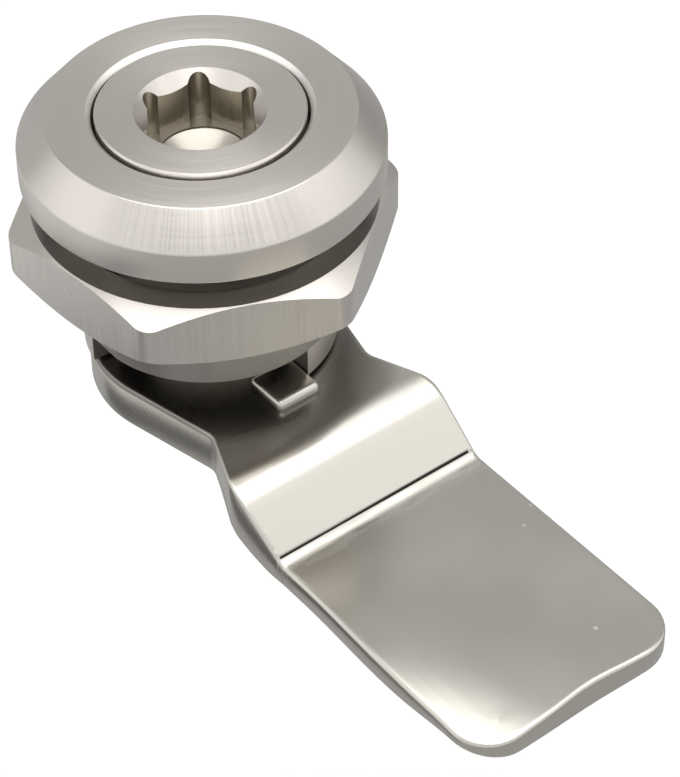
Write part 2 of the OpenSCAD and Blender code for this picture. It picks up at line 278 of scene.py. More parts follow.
# %% [markdown]
# Cards, out of the picture, are what the steel mirrors, and their greys draw its shape. They glow a little
# instead of being lit, and they show only in reflections, so each one can be set by itself.
# The cards behind the lock are for the flat faces: the flange sees the lower one, the blade the higher one.
# The pale cards at the sides and in front light the chamfer. The cards on the floor are for the upright
# faces, which mirror the table: a dark one is a painted shadow on the table for the hub's side to mirror,
# and a pale one is for the nut's left faces.

# %% Cards


def grey_card(name, placing, width_mm, height_mm, grey):
    material = bpy.data.materials.new(name)
    material.use_nodes = True
    tree = material.node_tree
    tree.nodes.clear()
    glow = add_node(tree, "Emission", {"Color": (grey, grey, grey, 1), "Strength": 1.0})
    add_node(tree, "OutputMaterial", {"Surface": glow.outputs[0]})
    card = flat_sheet(name, width_mm, height_mm, placing, material)
    card.visible_camera = False
    card.visible_shadow = False
    card.visible_diffuse = False


def standing(across, away, up, turn_deg):
    """A placing for an upright card that is turned from facing the camera."""
    turn = Matrix.Rotation(AZIMUTH + math.radians(turn_deg), 4, "Z")
    upright = Matrix.Rotation(math.pi / 2, 4, "X")
    return Matrix.Translation(studio_place(across, away, up)) @ turn @ upright


def lying(across, away, lift):
    """A placing for a card that lies just above the floor."""
    return Matrix.Translation(studio_place(across, away, floor_z + lift)) @ Matrix.Rotation(AZIMUTH, 4, "Z")


grey_card("back_card", standing(0, 420, 157, 0), 1700, 485, 0.59)
grey_card("high_card", standing(0, 420, 590, 0), 1700, 380, 0.45)
grey_card("right_back_card", standing(380, 400, 0, 0), 460, 170, 0.33)
grey_card("front_card", standing(0, -420, 320, 0), 500, 240, 0.8)
grey_card("right_card", standing(420, -50, 335, 90), 300, 450, 1.3)
grey_card("left_card", standing(-420, -50, 235, 90), 300, 350, 1.3)
grey_card("table_card", lying(0, 0, 1), 1100, 1100, 0.47)
grey_card("left_table_card", lying(-230, 25, 2), 274, 400, 0.86)
# A painted shadow: a dark card on the table where the hub's side mirrors it.
grey_card("painted_shadow_card", lying(-74, -20, 3), 40, 110, 0.1)

# %% [markdown]
# All finishes share a few steps: a steel to start from, noise, a stretched value, a tint and bumps. Patterns
# read the piece's own place in metres, so they stay on the piece when it turns.

# %% Helpers for finishes


def new_steel(name, colour, roughness):
    material = bpy.data.materials.new(name)
    material.use_nodes = True
    shader = material.node_tree.nodes["Principled BSDF"]
    shader.inputs["Base Color"].default_value = (*colour, 1)
    shader.inputs["Metallic"].default_value = 1
    shader.inputs["Roughness"].default_value = roughness
    return material, material.node_tree, shader.inputs


def noise_of(tree, vector, scale, detail):
    return add_node(tree, "TexNoise", {"Vector": vector, "Scale": scale, "Detail": detail}).outputs["Fac"]


def ramp(tree, value, low, high, from_low=0.3, from_high=0.7):
    """Takes the range from_low to from_high to low and high, and stops at both ends."""
    return add_node(tree, "MapRange", {
        "Value": value, "From Min": from_low, "From Max": from_high,
        "To Min": low, "To Max": high}).outputs[0]


def tint(tree, inputs, value, dark, light):
    """Base colour between two tones, and past them where the value leaves 0 to 1."""
    mix = add_node(tree, "Mix", {0: value, 6: (*dark, 1), 7: (*light, 1)},
                   data_type="RGBA", clamp_factor=False)
    tree.links.new(mix.outputs[2], inputs["Base Color"])


def bumps(tree, inputs, height, strength, distance_mm):
    bump = add_node(tree, "Bump", {"Height": height, "Strength": strength, "Distance": distance_mm * MM})
    tree.links.new(bump.outputs[0], inputs["Normal"])


def shaded(colour, factor):
    """The same colour, darker or lighter."""
    return [min(1, channel * factor) for channel in colour]


def axis_place(tree):
    """Where a point lies by the lock's axis: the vector across it, the radius and the height."""
    place = add_node(tree, "TexCoord").outputs["Object"]
    level = add_node(tree, "VectorMath", {0: place, 1: (1, 1, 0)}, operation="MULTIPLY").outputs[0]
    radius = add_node(tree, "VectorMath", {0: level}, operation="LENGTH").outputs["Value"]
    height = add_node(tree, "SeparateXYZ", {0: place}).outputs["Z"]
    return level, radius, height


# %% [markdown]
# Turned stainless steel. A lathe leaves fine rings round the axis, so the rings must follow the lock's own
# shape: their pattern runs along radius minus height, which grows steadily along the face, the chamfer and
# the rim alike. The direction round the axis is a unit vector, so no seam shows where an angle would jump.
# Rings also stretch highlights across themselves: that is the shader's anisotropy, with the direction of the
# ring as its tangent, turned by a quarter. On the chamfer the tool has left short chatter marks across the
# rings. They are put only on the side where the highlight falls, as bumps and as lighter and darker streaks
# in the colour: painted glints.

# %% Turned steel
RIM_H = 2.8
CHAMFER_W = 2.2
GLINT_SIDE = (0.86, -0.51, 0)
RINGS_PER_MM = 6.0
CHATTER_LINES = 60.0


def chatter_marks_and_glints(tree, outward, radius, height, above_mm):
    """Lines across the rings, on the chamfer only, and strongest on the side where the highlight falls:
    painted glints.
    """
    lines_vector = add_node(tree, "VectorMath", {0: outward, "Scale": CHATTER_LINES}, operation="SCALE")
    lines = ramp(tree, noise_of(tree, lines_vector.outputs[0], 1.0, 2.0), -1.0, 1.0)
    facing_glint_side = add_node(tree, "VectorMath", {0: outward, 1: GLINT_SIDE}, operation="DOT_PRODUCT")
    glint_patch = ramp(tree, facing_glint_side.outputs["Value"], 0.1, 1.0, 0.8, 0.95)
    outside = math_node(tree, "GREATER_THAN", radius, (FLANGE_R - CHAMFER_W) * MM)
    above = math_node(tree, "GREATER_THAN", height, above_mm * MM)
    on_chamfer = math_node(tree, "MULTIPLY", outside, above)
    return math_node(tree, "MULTIPLY", math_node(tree, "MULTIPLY", lines, glint_patch), on_chamfer)


def turned_steel(name, colour, chatter_above_mm=None):
    material, tree, inputs = new_steel(name, colour, 0.3)
    level, radius, height = axis_place(tree)
    outward = add_node(tree, "VectorMath", {0: level}, operation="NORMALIZE").outputs[0]
    around = add_node(tree, "VectorMath", {0: (0, 0, 1), 1: level}, operation="CROSS_PRODUCT").outputs[0]
    tangent = add_node(tree, "VectorTransform", {0: around}, vector_type="VECTOR",
                       convert_from="OBJECT", convert_to="WORLD").outputs[0]
    tree.links.new(tangent, inputs["Tangent"])
    inputs["Anisotropic"].default_value = 0.6
    inputs["Anisotropic Rotation"].default_value = 0.25
    profile_mm = math_node(tree, "DIVIDE", math_node(tree, "SUBTRACT", radius, height), MM)
    ring_height = math_node(tree, "MULTIPLY", profile_mm, RINGS_PER_MM)
    ring_place = add_node(tree, "CombineXYZ", {"Z": ring_height}).outputs[0]
    ring_vector = add_node(tree, "VectorMath", {0: outward, 1: ring_place}, operation="ADD").outputs[0]
    rings = noise_of(tree, ring_vector, 1.0, 4.0)
    tree.links.new(ramp(tree, rings, 0.29, 0.36), inputs["Roughness"])
    tone = rings
    if chatter_above_mm is not None:
        marks = chatter_marks_and_glints(tree, outward, radius, height, chatter_above_mm)
        tone = math_node(tree, "MULTIPLY_ADD", marks, 1.2, rings)
    tint(tree, inputs, tone, shaded(colour, 0.95), shaded(colour, 1.05))
    bumps(tree, inputs, tone, 0.1, 0.01)
    return material


STEEL = (0.64, 0.605, 0.56)
flange_steel = turned_steel("flange_steel", STEEL, chatter_above_mm=RIM_H + 0.2)
rotor_steel = turned_steel("rotor_steel", STEEL)
# A near-white copy of the steel for the bore's mouth: a painted highlight.
bright_steel = turned_steel("bright_steel", (0.9, 0.88, 0.84))
# The socket floor's steel is darker than the face: painted shade inside the socket.
shaded_drilled_steel = turned_steel("shaded_drilled_steel", (0.46, 0.43, 0.38))
# A darker copy of the steel for the thread: painted shade in the gap under the flange and inside the nut.
shaded_thread_steel = turned_steel("shaded_thread_steel", shaded(STEEL, 0.55))
turned_finishes = (flange_steel, rotor_steel, bright_steel, shaded_drilled_steel, shaded_thread_steel)
print("turned steels:", [material.name for material in turned_finishes])

# %% [markdown]
# The nut's flats are milled and the socket is broached: both tools leave fine upright lines, which are noise
# that is squeezed across and drawn out along the height. The bolt, the washers, the springs and the seals
# are plain, with a little grain.

# %% Milled and plain finishes
LINE_STRETCH = 45


def stretched_place(tree, scale):
    place = add_node(tree, "TexCoord").outputs["Object"]
    return add_node(tree, "Mapping", {"Vector": place, "Scale": scale}, vector_type="POINT").outputs[0]


def milled_steel(name, colour, roughness, lines_per_mm):
    material, tree, inputs = new_steel(name, colour, roughness)
    across = lines_per_mm / MM
    lines = noise_of(tree, stretched_place(tree, (across, across, across / LINE_STRETCH)), 1.0, 3.0)
    clouds = noise_of(tree, stretched_place(tree, (160, 160, 160)), 1.0, 2.0)
    tree.links.new(ramp(tree, lines, roughness - 0.06, roughness + 0.06), inputs["Roughness"])
    mottle = math_node(tree, "MULTIPLY_ADD", lines, 0.5, math_node(tree, "MULTIPLY", clouds, 0.5))
    tint(tree, inputs, mottle, shaded(colour, 0.9), shaded(colour, 1.1))
    bumps(tree, inputs, lines, 0.12, 0.01)
    return material


def grained(name, colour, metallic, roughness, grain_per_mm, depth_mm):
    """Any plain finish with a fine even grain: bright fasteners, dark spring steel, rubber or plastic."""
    material, tree, inputs = new_steel(name, colour, roughness)
    inputs["Metallic"].default_value = metallic
    grain_scale = grain_per_mm / MM
    grain = noise_of(tree, stretched_place(tree, (grain_scale, grain_scale, grain_scale)), 1.0, 3.0)
    tree.links.new(ramp(tree, grain, roughness - 0.06, roughness + 0.06), inputs["Roughness"])
    tint(tree, inputs, grain, shaded(colour, 0.9), shaded(colour, 1.1))
    bumps(tree, inputs, grain, 0.3, depth_mm)
    return material


nut_steel = milled_steel("nut_steel", (0.63, 0.605, 0.565), 0.3, 5.0)
# The socket walls' steel is darker than the rotor's face: painted shade inside the socket.
shaded_broached_steel = milled_steel("shaded_broached_steel", (0.42, 0.385, 0.32), 0.32, 2.5)
fastener_steel = grained("fastener_steel", (0.58, 0.57, 0.55), 1, 0.3, 2.5, 0.01)
spring_steel = grained("spring_steel", (0.3, 0.29, 0.28), 1, 0.35, 3.0, 0.01)
seal_rubber = grained("seal_rubber", (0.03, 0.03, 0.03), 0, 0.55, 6.0, 0.02)
washer_plastic = grained("washer_plastic", (0.78, 0.76, 0.72), 0, 0.4, 4.0, 0.01)
print("finishes so far:", len(bpy.data.materials))

# %% [markdown]
# The cam is polished by hand, so it shows slow waves, a fine grain and a few specks. The blade is scuffed
# beside the groove at the foot of the crank, and the hub is a little duller round the barrel. Shade is
# painted
# into its colour: a dark line in the groove, and a darker hub top round the barrel, but not on the nub,
# which stands proud.

# %% Polished steel
CREASE_GROOVE_X = 20.85
GROOVE_SHADE_HALF_LENGTH = 9.1
SCUFF_START = 0.3
SCUFF_END = 2.2
HUB_SHADE_R = 11
HUB_SHADE_END_R = 16
HUB_SHADE_ABOVE_Z = BARREL_END_Z - 0.5


def wheel_marks(tree, past_groove):
    """Extra roughness: specks all over, and streaks just past the groove."""
    cells = add_node(tree, "TexVoronoi", {"Vector": stretched_place(tree, (260, 330, 330)), "Scale": 1.0})
    specks = ramp(tree, cells.outputs["Distance"], 1.0, 0.0, 0.03, 0.07)
    streaks = noise_of(tree, stretched_place(tree, (2200, 300, 300)), 1.0, 3.0)
    near_groove = ramp(tree, past_groove, 1.0, 0.0, SCUFF_START * MM, SCUFF_END * MM)
    scuffed = math_node(tree, "MULTIPLY", near_groove, math_node(tree, "GREATER_THAN", past_groove, 0.0))
    rubbed = math_node(tree, "MULTIPLY", ramp(tree, streaks, 0.0, 0.3), scuffed)
    return math_node(tree, "MULTIPLY_ADD", specks, 0.25, rubbed)


def groove_painted_shade(tree, waves, past_groove, sideways):
    """Painted shade in the groove: 0 there, with a ragged edge, and 1 elsewhere."""
    past_end = math_node(tree, "SUBTRACT", math_node(tree, "ABSOLUTE", sideways), GROOVE_SHADE_HALF_LENGTH * MM)
    from_line = math_node(tree, "MAXIMUM", math_node(tree, "ABSOLUTE", past_groove), past_end)
    ragged = math_node(tree, "MULTIPLY_ADD", waves, 0.1 * MM, from_line)
    return ramp(tree, ragged, 0.0, 1.0, 0.09 * MM, 0.17 * MM)


def hub_painted_shade(tree, radius, height):
    """Painted shade: dark on the hub's top round the barrel, and 1 on its side, on the nub and further out.
    """
    from_axis = ramp(tree, radius, 0.36, 1.0, HUB_SHADE_R * MM, HUB_SHADE_END_R * MM)
    down_side = ramp(tree, height, 1.0, 0.0, (HUB_SHADE_ABOVE_Z - 0.3) * MM, HUB_SHADE_ABOVE_Z * MM)
    on_nub = ramp(tree, height, 0.0, 1.0, (HUB_SHADE_ABOVE_Z + 0.3) * MM, (HUB_SHADE_ABOVE_Z + 0.5) * MM)
    return math_node(tree, "MAXIMUM", math_node(tree, "MAXIMUM", from_axis, down_side), on_nub)


def polished_steel(name, colour):
    material, tree, inputs = new_steel(name, colour, 0.2)
    waves = noise_of(tree, stretched_place(tree, (130, 130, 130)), 1.0, 1.0)
    grain = noise_of(tree, stretched_place(tree, (2600, 4200, 3000)), 1.0, 3.0)
    level, radius, height = axis_place(tree)
    place = add_node(tree, "SeparateXYZ", {0: level}).outputs
    past_groove = math_node(tree, "SUBTRACT", place["X"], CREASE_GROOVE_X * MM)
    satin = math_node(tree, "MULTIPLY_ADD", grain, 0.02, ramp(tree, waves, 0.2, 0.25))
    dull = math_node(tree, "ADD", satin, ramp(tree, radius, 0.04, 0.0, 12 * MM, 18 * MM))
    tree.links.new(math_node(tree, "ADD", wheel_marks(tree, past_groove), dull), inputs["Roughness"])
    # Painted shade: a dark line in the groove at the foot of the crank.
    groove_shade = groove_painted_shade(tree, waves, past_groove, place["Y"])
    # Painted shade on the hub's top, multiplied with the painted shade in the groove; the nub keeps its
    # colour.
    brightness = math_node(tree, "MULTIPLY", groove_shade, hub_painted_shade(tree, radius, height))
    tint(tree, inputs, brightness, shaded(colour, 0.05), colour)
    bumps(tree, inputs, math_node(tree, "MULTIPLY_ADD", grain, 0.004, waves), 0.1, 0.12)
    return material


cam_steel = polished_steel("cam_steel", (0.6, 0.576, 0.523))
print("the cam is finished in", cam_steel.name)

# %% [markdown]
# Most pieces of a lock are turned. A turned piece starts as half of its cross-section: one flat face whose
# corners are given as radius, height and rounding. A vertex bevel rounds the corners, and spin turns the
# face's rim round the axis. That keeps each edge's rounding in one number.

# %% Helpers for turned pieces
TURN_STEPS = 144


def round_corner(bm, vert, radius, segments=4):
    """Rounds one corner of a flat face, whatever the angle between its two sides."""
    sides = [(edge.other_vert(vert).co - vert.co).normalized() for edge in vert.link_edges]
    half = sides[0].angle(sides[1]) / 2
    bmesh.ops.bevel(bm, geom=[vert], offset=radius / math.tan(half), affect="VERTICES",
                    segments=segments, profile=0.5, material=-1, clamp_overlap=False)


def turned(profile):
    """A closed body of revolution from corners of (radius, height, rounding)."""
    bm = bmesh.new()
    corners = [bm.verts.new((radius, 0, height)) for radius, height, rounding in profile]
    bm.faces.new(corners)
    for vert, (radius, height, rounding) in zip(corners, profile):
        if rounding > 0:
            round_corner(bm, vert, rounding)
    bmesh.ops.delete(bm, geom=list(bm.faces), context="FACES_ONLY")
    on_axis = [edge for edge in bm.edges if all(vert.co.x < 1e-6 for vert in edge.verts)]
    bmesh.ops.delete(bm, geom=on_axis, context="EDGES")
    bmesh.ops.spin(bm, geom=list(bm.verts) + list(bm.edges), cent=(0, 0, 0), axis=(0, 0, 1),
                   angle=math.tau, steps=TURN_STEPS, use_merge=True)
    bmesh.ops.remove_doubles(bm, verts=bm.verts, dist=1e-4)
    bmesh.ops.recalc_face_normals(bm, faces=bm.faces)
    return bm


def washer_shape(outer_r, inner_r, low_z, high_z, rounding):
    return turned([(outer_r, low_z, rounding), (outer_r, high_z, rounding),
                   (inner_r, high_z, rounding), (inner_r, low_z, rounding)])


def solid_turned(profile):
    """The same, for a body that reaches the axis: the two ends on the axis are added."""
    return turned([(0, profile[0][1], 0), *profile, (0, profile[-1][1], 0)])


# %% [markdown]
# Cuts that don't go round the axis, such as a hexagon or a socket, are made with the Boolean modifier on
# two scratch objects, and the result comes back as a bmesh.

# %% Helpers for cuts and finished pieces


def scratch_object(bm):
    mesh = bpy.data.meshes.new("scratch")
    bm.to_mesh(mesh)
    bm.free()
    thing = bpy.data.objects.new("scratch", mesh)
    scene.collection.objects.link(thing)
    return thing


def combined(shape, tool, operation):
    """DIFFERENCE, INTERSECT or UNION of two closed shapes. Both are used up."""
    blank = scratch_object(shape)
    cutter = scratch_object(tool)
    cut = blank.modifiers.new("cut", "BOOLEAN")
    cut.operation = operation
    cut.solver = "EXACT"
    cut.object = cutter
    result = bmesh.new()
    result.from_object(blank, bpy.context.evaluated_depsgraph_get())
    for thing in (blank, cutter):
        mesh = thing.data
        bpy.data.objects.remove(thing)
        bpy.data.meshes.remove(mesh)
    bmesh.ops.remove_doubles(result, verts=result.verts, dist=1e-4)
    return result


def join_shell(bm, other):
    """Adds another closed shell to a piece."""
    mesh = bpy.data.meshes.new("shell")
    other.to_mesh(mesh)
    other.free()
    bm.from_mesh(mesh)
    bpy.data.meshes.remove(mesh)


record = frame["record"]
nodes_of_body = record["behaviour"]["bodies"]
body_of_node = {node: body for body, nodes in nodes_of_body.items() for node in nodes}


def finish_piece(bm, name, node, materials, sharp_angle=35):
    """Scales a piece to metres, shades it, and lets it stand for its solid."""
    bmesh.ops.scale(bm, vec=(MM, MM, MM), verts=bm.verts)
    mesh = bpy.data.meshes.new(name)
    bm.to_mesh(mesh)
    bm.free()
    mesh.shade_smooth()
    mesh.set_sharp_from_angle(angle=math.radians(sharp_angle))
    for material in materials:
        mesh.materials.append(material)
    piece = bpy.data.objects.new(name, mesh)
    scene.collection.objects.link(piece)
    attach(piece, body_of_node[node])
    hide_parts(node)
    print(name, "has", len(mesh.polygons), "faces and rides on", body_of_node[node])
    return piece


# %% [markdown]
# The housing is one turned body: flange with a wide chamfer, threaded barrel, and a stepped bore for the
# rotor. Its profile runs once round the cross-section. The front edge of the bore has a small chamfer, and a
# groove under the flange holds the seal.

# %% Housing: the turned body
FLANGE_ROUNDING = 0.35
EDGE = 0.15
BORE_MOUTH = 0.4
BORE_R = HEAD_R + 0.25
LEDGE_Z = -2.75
COLLAR_R = 6.05
COLLAR_END_Z = -8.75
COUNTERBORE_R = 7.7
THREAD_R = 11.0
ROOT_R = 10.1
CUTOUT_Z = BARREL_END_Z + 2.75
SEAL_GROOVE_R = 12.5
SEAL_GROOVE_HALF_W = 0.75
SEAL_GROOVE_H = 1.25

housing = turned([
    (FLANGE_R, 0, FLANGE_ROUNDING),
    (FLANGE_R, RIM_H, FLANGE_ROUNDING),
    (FLANGE_R - CHAMFER_W, FACE_Z, FLANGE_ROUNDING / 2),
    (BORE_R + BORE_MOUTH, FACE_Z, 0.05),
    (BORE_R, FACE_Z - BORE_MOUTH, 0.05),
    (BORE_R, LEDGE_Z, 0),
    (COLLAR_R, LEDGE_Z, 0),
    (COLLAR_R, COLLAR_END_Z, 0),
    (COUNTERBORE_R, COLLAR_END_Z, 0),
    (COUNTERBORE_R, CUTOUT_Z, 0),
    (COUNTERBORE_R, BARREL_END_Z, 0),
    (ROOT_R - EDGE, BARREL_END_Z, 0.05),
    (ROOT_R, BARREL_END_Z + EDGE, 0.05),
    (ROOT_R, CUTOUT_Z, 0),
    (ROOT_R, 0, 0),
    (SEAL_GROOVE_R - SEAL_GROOVE_HALF_W, 0, 0.05),
    (SEAL_GROOVE_R - SEAL_GROOVE_HALF_W, SEAL_GROOVE_H, 0),
    (SEAL_GROOVE_R + SEAL_GROOVE_HALF_W, SEAL_GROOVE_H, 0),
    (SEAL_GROOVE_R + SEAL_GROOVE_HALF_W, 0, 0.05)])
print("turned body:", len(housing.faces), "faces")

# %% [markdown]
# The stop cut-out takes a quarter of the rear rim away, so that the cam's nub can travel from stop to stop.
# Two planes mark its ends on the rim, the faces between them are deleted, the two arcs left at its ceiling
# are bridged, and the open ends are filled.

# %% Housing: the stop cut-out
STOP_HALF = 2.05


def bisect(bm, faces, point, normal):
    edges = {edge for face in faces for edge in face.edges}
    verts = {vert for face in faces for vert in face.verts}
    bmesh.ops.bisect_plane(bm, geom=[*faces, *edges, *verts], plane_co=point, plane_no=normal, dist=1e-4)


def faces_below(bm, height):
    return [face for face in bm.faces if face.calc_center_median().z < height - 1e-3]


bisect(housing, faces_below(housing, CUTOUT_Z), (-STOP_HALF, 0, 0), (1, 0, 0))
bisect(housing, faces_below(housing, CUTOUT_Z), (0, STOP_HALF, 0), (0, 1, 0))
taken_out = [face for face in faces_below(housing, CUTOUT_Z)
             if face.calc_center_median().x > -STOP_HALF and face.calc_center_median().y < STOP_HALF]
bmesh.ops.delete(housing, geom=taken_out, context="FACES")
open_edges = [edge for edge in housing.edges if edge.is_boundary]
ceiling = [edge for edge in open_edges if all(abs(vert.co.z - CUTOUT_Z) < 1e-3 for vert in edge.verts)]
bmesh.ops.bridge_loops(housing, edges=ceiling)
bmesh.ops.holes_fill(housing, edges=[edge for edge in housing.edges if edge.is_boundary], sides=0)
still_open = sum(edge.is_boundary for edge in housing.edges)
print("cut-out:", len(taken_out), "faces out, open edges left:", still_open)

# %% [markdown]
# The thread is a ridge with a trapezoid section, spun round the barrel with a small step down at each step
# of the spin. Near both ends it sinks into the barrel, as a real thread runs out. The barrel has two flats
# that keep the lock from turning in the door. They are milled after the thread is cut, so the ridge and the
# barrel become one body first, and a block on each side then takes the flat off both.

# %% Housing: thread and flats
PITCH = 1.5
THREAD_START_Z = -0.6
THREAD_END_Z = -9.6
THREAD_STEPS_PER_TURN = 96
FOOT_R = ROOT_R - 0.3
FOOT_HALF = 0.74
CREST_HALF = 0.12
RUN_OUT_R = ROOT_R - 0.1
FLAT_Y = 10.0

thread = bmesh.new()
section = [thread.verts.new((radius, 0, THREAD_START_Z + height))
           for radius, height in ((FOOT_R, FOOT_HALF), (THREAD_R, CREST_HALF),
                                  (THREAD_R, -CREST_HALF), (FOOT_R, -FOOT_HALF))]
thread_face = thread.faces.new(section)
turns = (THREAD_START_Z - THREAD_END_Z) / PITCH
steps = round(turns * THREAD_STEPS_PER_TURN)
bmesh.ops.spin(thread, geom=[thread_face, *thread_face.edges, *section], cent=(0, 0, 0), axis=(0, 0, 1),
               dvec=(0, 0, -PITCH / THREAD_STEPS_PER_TURN), angle=math.tau * turns, steps=steps)
for vert in thread.verts:
    radius = math.hypot(vert.co.x, vert.co.y)
    room = max(0, min(vert.co.z - THREAD_END_Z, THREAD_START_Z - vert.co.z))
    limit = min(THREAD_R, RUN_OUT_R + room)
    if radius > limit:
        vert.co.xy *= limit / radius
bmesh.ops.recalc_face_normals(thread, faces=thread.faces)
housing = combined(housing, thread, "UNION")
for side in (-1, 1):
    beyond_flat = bmesh.new()
    bmesh.ops.create_cube(beyond_flat, size=1)
    bmesh.ops.scale(beyond_flat, vec=(3 * THREAD_R, THREAD_R, 1 - BARREL_END_Z), verts=beyond_flat.verts)
    bmesh.ops.translate(beyond_flat, vec=(0, side * (FLAT_Y + THREAD_R / 2), (BARREL_END_Z - 1) / 2),
                        verts=beyond_flat.verts)
    housing = combined(housing, beyond_flat, "DIFFERENCE")
not_closed = sum(not edge.is_manifold for edge in housing.edges)
print("threaded barrel, edges that aren't closed:", not_closed)
housing.normal_update()
for face in housing.faces:
    place = face.calc_center_median()
    # The thread's faces take the darker steel: painted shade.
    on_thread = CUTOUT_Z < place.z < 0 and FLAT_Y - 0.2 < place.xy.length < THREAD_R + 0.01
    # The bore's mouth takes the near-white steel: a painted highlight on its chamfer.
    on_mouth = FACE_Z - BORE_MOUTH < place.z < FACE_Z - 0.01 and place.xy.length < BORE_R + BORE_MOUTH
    face.material_index = 1 if on_thread else 2 if on_mouth else 0
finish_piece(housing, "turned_housing", "housing", [flange_steel, shaded_thread_steel, bright_steel])

# %% [markdown]
# The nut and the bolt head are both hexagon blocks whose corners are turned off at 30 degrees. Where a cone
# meets a flat face, the edge is a soft arc, and that arc is what makes a nut look like a nut. So the block
# is a six-sided prism with rounded corners, intersected with a turned barrel that has the cones.
# The flats are milled, and the end faces and cones are turned, so each face takes the finish of its tool.

# %% Mounting nut
CORNER_SLOPE = math.radians(30)
NUT_WIDTH = 27.0
NUT_TURN = math.radians(6.8)
NUT_BORE_R = THREAD_R + 0.05
NUT_MOUTH = 0.4
NUT_CORNER_R = 1.8


def hexagon_block(width, low_z, high_z, turn, corner_rounding, chamfer_high):
    prism = bmesh.new()
    corner_r = width / math.sqrt(3)
    bmesh.ops.create_cone(prism, cap_ends=True, segments=6, radius1=corner_r, radius2=corner_r,
                          depth=high_z - low_z)
    upright = [edge for edge in prism.edges if abs(edge.verts[0].co.z - edge.verts[1].co.z) > 1e-3]
    bmesh.ops.bevel(prism, geom=upright, offset=corner_rounding * math.tan(math.radians(30)), affect="EDGES",
                    segments=8, profile=0.5, material=-1)
    sixth = Matrix.Rotation(turn + math.radians(30), 4, "Z")
    middle = Matrix.Translation((0, 0, (low_z + high_z) / 2))
    bmesh.ops.transform(prism, matrix=middle @ sixth, verts=prism.verts)
    wide_r = corner_r + 0.5
    face_r = width / 2 - 0.1
    drop = (wide_r - face_r) * math.tan(CORNER_SLOPE)
    barrel = [(face_r, low_z - 1e-3, 0), (wide_r, low_z + drop, 0)]
    if chamfer_high:
        barrel += [(wide_r, high_z - drop, 0), (face_r, high_z + 1e-3, 0)]
    else:
        barrel += [(wide_r, high_z + 1, 0)]
    return combined(prism, solid_turned(barrel), "INTERSECT")


nut = hexagon_block(NUT_WIDTH, nut_low.z, nut_high.z, NUT_TURN, NUT_CORNER_R, True)
bore = solid_turned([
    (NUT_BORE_R + NUT_MOUTH + 0.5, nut_low.z - 0.5, 0),
    (NUT_BORE_R, nut_low.z + NUT_MOUTH, 0),
    (NUT_BORE_R, nut_high.z - NUT_MOUTH, 0),
    (NUT_BORE_R + NUT_MOUTH + 0.5, nut_high.z + 0.5, 0)])
nut = combined(nut, bore, "DIFFERENCE")
nut.normal_update()
for face in nut.faces:
    face.material_index = 1 if abs(face.normal.z) > 0.3 else 0
finish_piece(nut, "hexagon_nut", "mounting_nut", [nut_steel, rotor_steel], sharp_angle=20)

# %% [markdown]
# The rotor fills the flange's bore. Its head has a groove for a seal. Behind the head it narrows to a
# journal with a groove for the retaining ring, and it ends in the square tail that turns the cam. The tail
# is joined to the turned body, and the hole for the bolt is drilled into it from behind.

# %% Rotor: the turned body and the tail
HEAD_BOTTOM_Z = -2.2
JOURNAL_R = 6.0
SEAL_Z = -1.02
SEAL_GROOVE_DEPTH_R = 6.99
SEAL_GROOVE_HALF_H = 0.68
RING_GROOVE_R = 5.5
RING_GROOVE_TOP_Z = -9.85
RING_GROOVE_LOW_Z = -10.95
HUB_TOP_Z = BARREL_END_Z - 0.3
TAIL_W = 8.0
BOLT_HOLE_R = 2.55
BOLT_HOLE_TOP_Z = -9.4

rotor = solid_turned([
    (HEAD_R - EDGE, FACE_Z, 0.05),
    (HEAD_R, FACE_Z - EDGE, 0.05),
    (HEAD_R, SEAL_Z + SEAL_GROOVE_HALF_H, 0),
    (SEAL_GROOVE_DEPTH_R, SEAL_Z + SEAL_GROOVE_HALF_H, 0),
    (SEAL_GROOVE_DEPTH_R, SEAL_Z - SEAL_GROOVE_HALF_H, 0),
    (HEAD_R, SEAL_Z - SEAL_GROOVE_HALF_H, 0),
    (HEAD_R, HEAD_BOTTOM_Z, 0),
    (JOURNAL_R, HEAD_BOTTOM_Z, 0),
    (JOURNAL_R, RING_GROOVE_TOP_Z, 0),
    (RING_GROOVE_R, RING_GROOVE_TOP_Z, 0),
    (RING_GROOVE_R, RING_GROOVE_LOW_Z, 0),
    (JOURNAL_R, RING_GROOVE_LOW_Z, 0),
    (JOURNAL_R, HUB_TOP_Z, 0)])


def square_block(width, low_z, high_z):
    block = bmesh.new()
    bmesh.ops.create_cube(block, size=1)
    bmesh.ops.scale(block, vec=(width, width, high_z - low_z), verts=block.verts)
    bmesh.ops.translate(block, vec=(0, 0, (low_z + high_z) / 2), verts=block.verts)
    return block


def round_bar(radius, low_z, high_z, x=0.0, y=0.0):
    bar = solid_turned([(radius, low_z, 0), (radius, high_z, 0)])
    bmesh.ops.translate(bar, vec=(x, y, 0), verts=bar.verts)
    return bar


rotor = combined(rotor, square_block(TAIL_W, rotor_low.z, HUB_TOP_Z + 0.5), "UNION")
rotor = combined(rotor, round_bar(BOLT_HOLE_R, rotor_low.z - 1, BOLT_HOLE_TOP_Z), "DIFFERENCE")
print("rotor body:", len(rotor.faces), "faces")

# %% [markdown]
# A key turns the rotor by its socket. On the real part a hole is drilled first, and a broach then cuts the
# hexagon. Small round lobes relieve its corners, so that the broach and the key go in easily, and a
# countersink leads the key in. The cuts here are made one after the other in the same way.
# Walls, floor and the rest take different finishes, because different tools made them. The walls and the
# floor are also darker than the face: painted shade inside the socket.

# %% Rotor: the broached socket
SOCKET_WIDTH = 8.0
SOCKET_DEPTH = 4.4
SOCKET_TURN = math.radians(26)
LOBE_R = 0.85
LOBE_REACH = 0.2
PILOT_R = 3.45
PILOT_DEPTH = 0.2
PILOT_POINT_H = PILOT_R / math.tan(math.radians(59))
COUNTERSINK_W = 1.05
SOCKET_TOP = FACE_Z + 1

